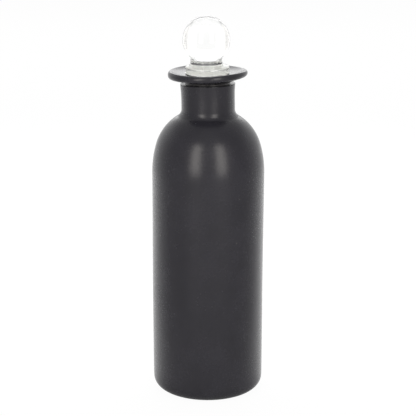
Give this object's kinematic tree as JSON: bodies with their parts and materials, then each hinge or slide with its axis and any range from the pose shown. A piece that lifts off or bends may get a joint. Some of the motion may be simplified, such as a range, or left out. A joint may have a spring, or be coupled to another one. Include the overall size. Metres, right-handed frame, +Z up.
{
  "type": "potion bottle",
  "caption": "Tall round black bottle with a rounded shoulder, short neck and wide flared lip, closed by a clear glass ball stopper.",
  "frame": {"origin": "centre of the flat standing ring, on the surface that the bottle stands on", "axes": "+Z up along the bottle's axis, through the stopper; the bottle is round, so +X and +Y are free"},
  "size_m": [0.09, 0.09, 0.308],
  "materials": {
    "black_glass": "satin",
    "clear_glass": "polished"
  },
  "bodies": {
    "bottle": {"bottle": "black_glass"},
    "stopper": {"stopper": "clear_glass"}
  },
  "joints": [
    {"name": "stopper_lift", "type": "slide", "parent": "bottle", "child": "stopper", "axis": [0, 0, 1], "range_m": [0, 0.05]}
  ]
}
